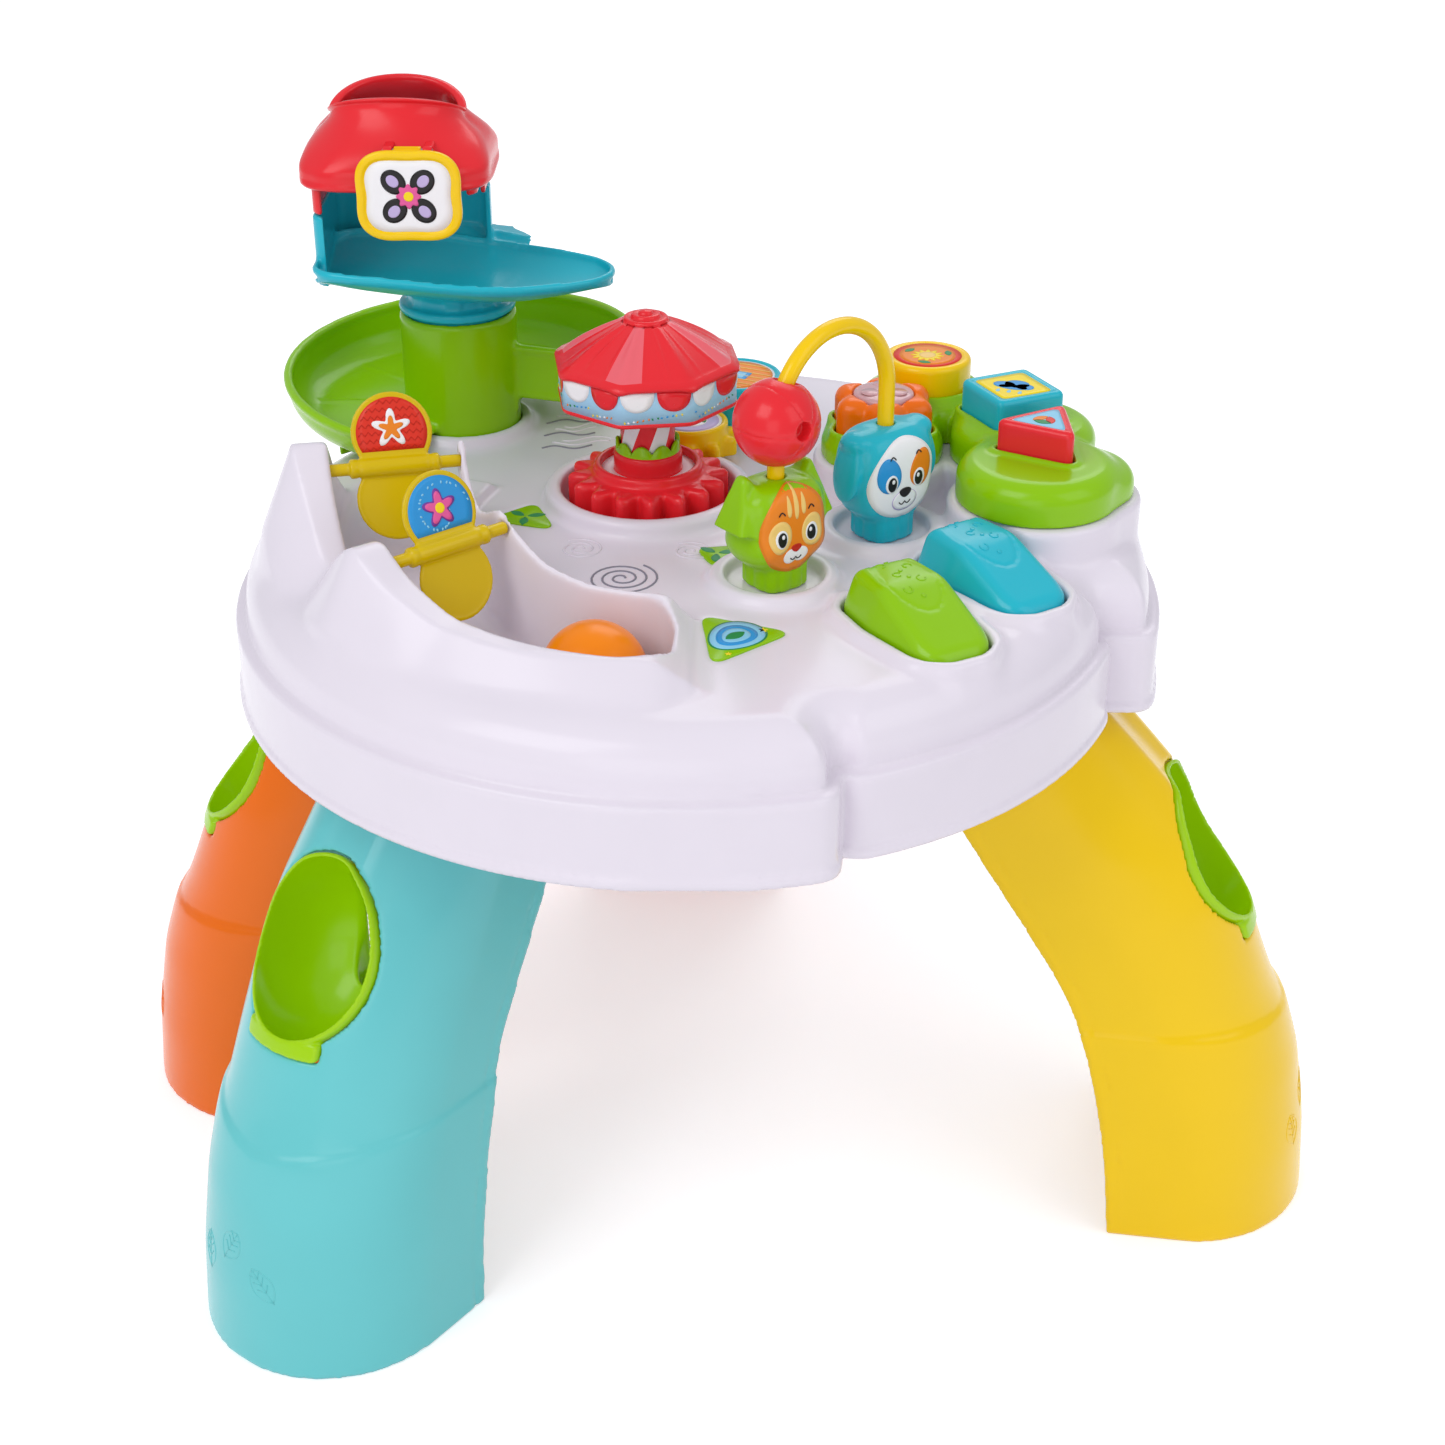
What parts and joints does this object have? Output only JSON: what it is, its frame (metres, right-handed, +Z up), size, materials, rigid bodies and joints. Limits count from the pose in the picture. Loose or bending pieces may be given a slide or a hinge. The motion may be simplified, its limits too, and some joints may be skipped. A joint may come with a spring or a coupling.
{
  "type": "baby activity table",
  "caption": "Lobed play table on splayed hollow legs, with a ball tower and run, carousel gears, turning heads under a bead arch, keys and push buttons.",
  "frame": {"origin": "centre of the bounding box, on the floor", "axes": "+X to the right as seen from the keys side, +Y to the back, +Z up"},
  "size_m": [0.6476, 0.579, 0.5522],
  "materials": {
    "body": "glossy",
    "lime": "glossy",
    "teal": "glossy",
    "aqua": "glossy",
    "orange": "glossy",
    "yellow": "glossy",
    "red": "glossy",
    "gold": "glossy",
    "sky": "glossy",
    "white": "glossy",
    "steel": "brushed",
    "board": "matt, as a glass-fibre board",
    "rubber": "matt",
    "black": "matt",
    "cell": "glossy label",
    "lens": "clear, glossy"
  },
  "bodies": {
    "table": {"tabletop_shell": "body", "base_tray": "body", "side_leg_left": "orange", "front_leg": "aqua", "side_leg_right": "yellow", "back_leg": "red", "side_leg_left_cup": "lime", "front_leg_cup": "lime", "side_leg_right_cup": "lime", "back_leg_cup": "lime", "ramp_bowl": "lime", "upper_slide": "teal", "tower_walls": "red", "tower_roof": "red", "sign_pin": "steel", "carousel_spindle": "steel", "yellow_gear_pin": "steel", "teal_gear_pin": "steel", "arch_tube": "yellow", "green_key_pin": "steel", "aqua_key_pin": "steel", "hill_panel": "lime", "front_panel": "lime", "left_panel": "lime", "back_panel": "lime", "circuit_board": "board", "button_membrane": "rubber", "speaker": "black", "battery_1": "cell", "battery_2": "cell", "battery_3": "cell", "battery_door": "body", "battery_door_screw": "steel", "tray_screw_1": "steel", "tray_screw_2": "steel", "tray_screw_3": "steel", "tray_screw_4": "steel"},
    "carousel": {"carousel_gear": "red", "carousel_post": "white", "canopy_band": "sky", "carousel_canopy": "red"},
    "yellow_gear": {"yellow_gear": "yellow"},
    "teal_gear": {"teal_gear": "teal"},
    "rear_flap_wheel": {"rear_flap_wheel": "gold"},
    "front_flap_wheel": {"front_flap_wheel": "gold"},
    "bead": {"bead": "red"},
    "cat_head": {"cat_head": "lime"},
    "dog_head": {"dog_head": "teal"},
    "green_key": {"green_key": "lime"},
    "aqua_key": {"aqua_key": "teal"},
    "round_button": {"round_button": "yellow"},
    "square_button": {"square_button": "teal"},
    "triangle_button": {"triangle_button": "red"},
    "flower_button": {"flower_button": "orange", "flower_lens": "lens"},
    "sign_plaque": {"sign_plaque": "yellow"},
    "ball": {"ball": "orange"},
    "power_switch": {"power_switch": "red"}
  },
  "joints": [
    {"name": "carousel_spin", "type": "hinge", "parent": "table", "child": "carousel", "pos_m": [-0.03093, -0.0355, 0.38], "axis": [0, 0, 1], "continuous": true},
    {"name": "yellow_gear_spin", "type": "hinge", "parent": "table", "child": "yellow_gear", "pos_m": [-0.01109, 0.02212, 0.378], "axis": [0, 0, 1], "continuous": true},
    {"name": "teal_gear_spin", "type": "hinge", "parent": "table", "child": "teal_gear", "pos_m": [0.01235, 0.06271, 0.378], "axis": [0, 0, 1], "continuous": true},
    {"name": "rear_flap_spin", "type": "hinge", "parent": "table", "child": "rear_flap_wheel", "pos_m": [-0.14756, -0.09623, 0.413], "axis": [-0.9763, -0.2164, 0], "continuous": true},
    {"name": "front_flap_spin", "type": "hinge", "parent": "table", "child": "front_flap_wheel", "pos_m": [-0.1169, -0.15772, 0.4], "axis": [-0.7604, -0.6494, 0], "continuous": true},
    {"name": "bead_slide", "type": "hinge", "parent": "table", "child": "bead", "pos_m": [0.05657, -0.104, 0.445], "axis": [-0.7201, 0.6939, 0], "range_deg": [0, 168]},
    {"name": "cat_turn", "type": "hinge", "parent": "table", "child": "cat_head", "pos_m": [0.03007, -0.1315, 0.4], "axis": [0, 0, 1], "range_deg": [-35, 35]},
    {"name": "dog_turn", "type": "hinge", "parent": "table", "child": "dog_head", "pos_m": [0.08307, -0.0765, 0.4], "axis": [0, 0, 1], "range_deg": [-30, 25]},
    {"name": "green_key_press", "type": "hinge", "parent": "table", "child": "green_key", "pos_m": [0.07798, -0.15475, 0.364], "axis": [0.8746, 0.4848, 0], "range_deg": [0, 5], "stiffness_Nm_per_rad": 1, "springref_deg": -5.73},
    {"name": "aqua_key_press", "type": "hinge", "parent": "table", "child": "aqua_key", "pos_m": [0.11343, -0.11047, 0.364], "axis": [0.829, 0.5592, 0], "range_deg": [0, 5], "stiffness_Nm_per_rad": 1, "springref_deg": -5.73},
    {"name": "round_press", "type": "slide", "parent": "table", "child": "round_button", "axis": [0, 0, -1], "range_m": [0, 0.003], "stiffness_N_per_m": 200, "springref_m": -0.006},
    {"name": "square_press", "type": "slide", "parent": "table", "child": "square_button", "axis": [0, 0, -1], "range_m": [0, 0.003], "stiffness_N_per_m": 200, "springref_m": -0.006},
    {"name": "triangle_press", "type": "slide", "parent": "table", "child": "triangle_button", "axis": [0, 0, -1], "range_m": [0, 0.003], "stiffness_N_per_m": 200, "springref_m": -0.006},
    {"name": "flower_press", "type": "slide", "parent": "table", "child": "flower_button", "axis": [0, 0, -1], "range_m": [0, 0.0025], "stiffness_N_per_m": 200, "springref_m": -0.006},
    {"name": "sign_swing", "type": "hinge", "parent": "table", "child": "sign_plaque", "pos_m": [-0.14693, 0.0145, 0.531], "axis": [-1, 0, 0], "range_deg": [0, 75]},
    {"name": "ball_lift", "type": "slide", "parent": "table", "child": "ball", "axis": [0, 0, 1], "range_m": [0, 0.1]},
    {"name": "power_switch_slide", "type": "slide", "parent": "table", "child": "power_switch", "axis": [1, 0, 0], "range_m": [0, 0.004]}
  ],
  "couplings": [
    {"joint": "yellow_gear_spin", "follows": "carousel_spin", "ratio": -1.6},
    {"joint": "teal_gear_spin", "follows": "carousel_spin", "ratio": 1.6}
  ]
}
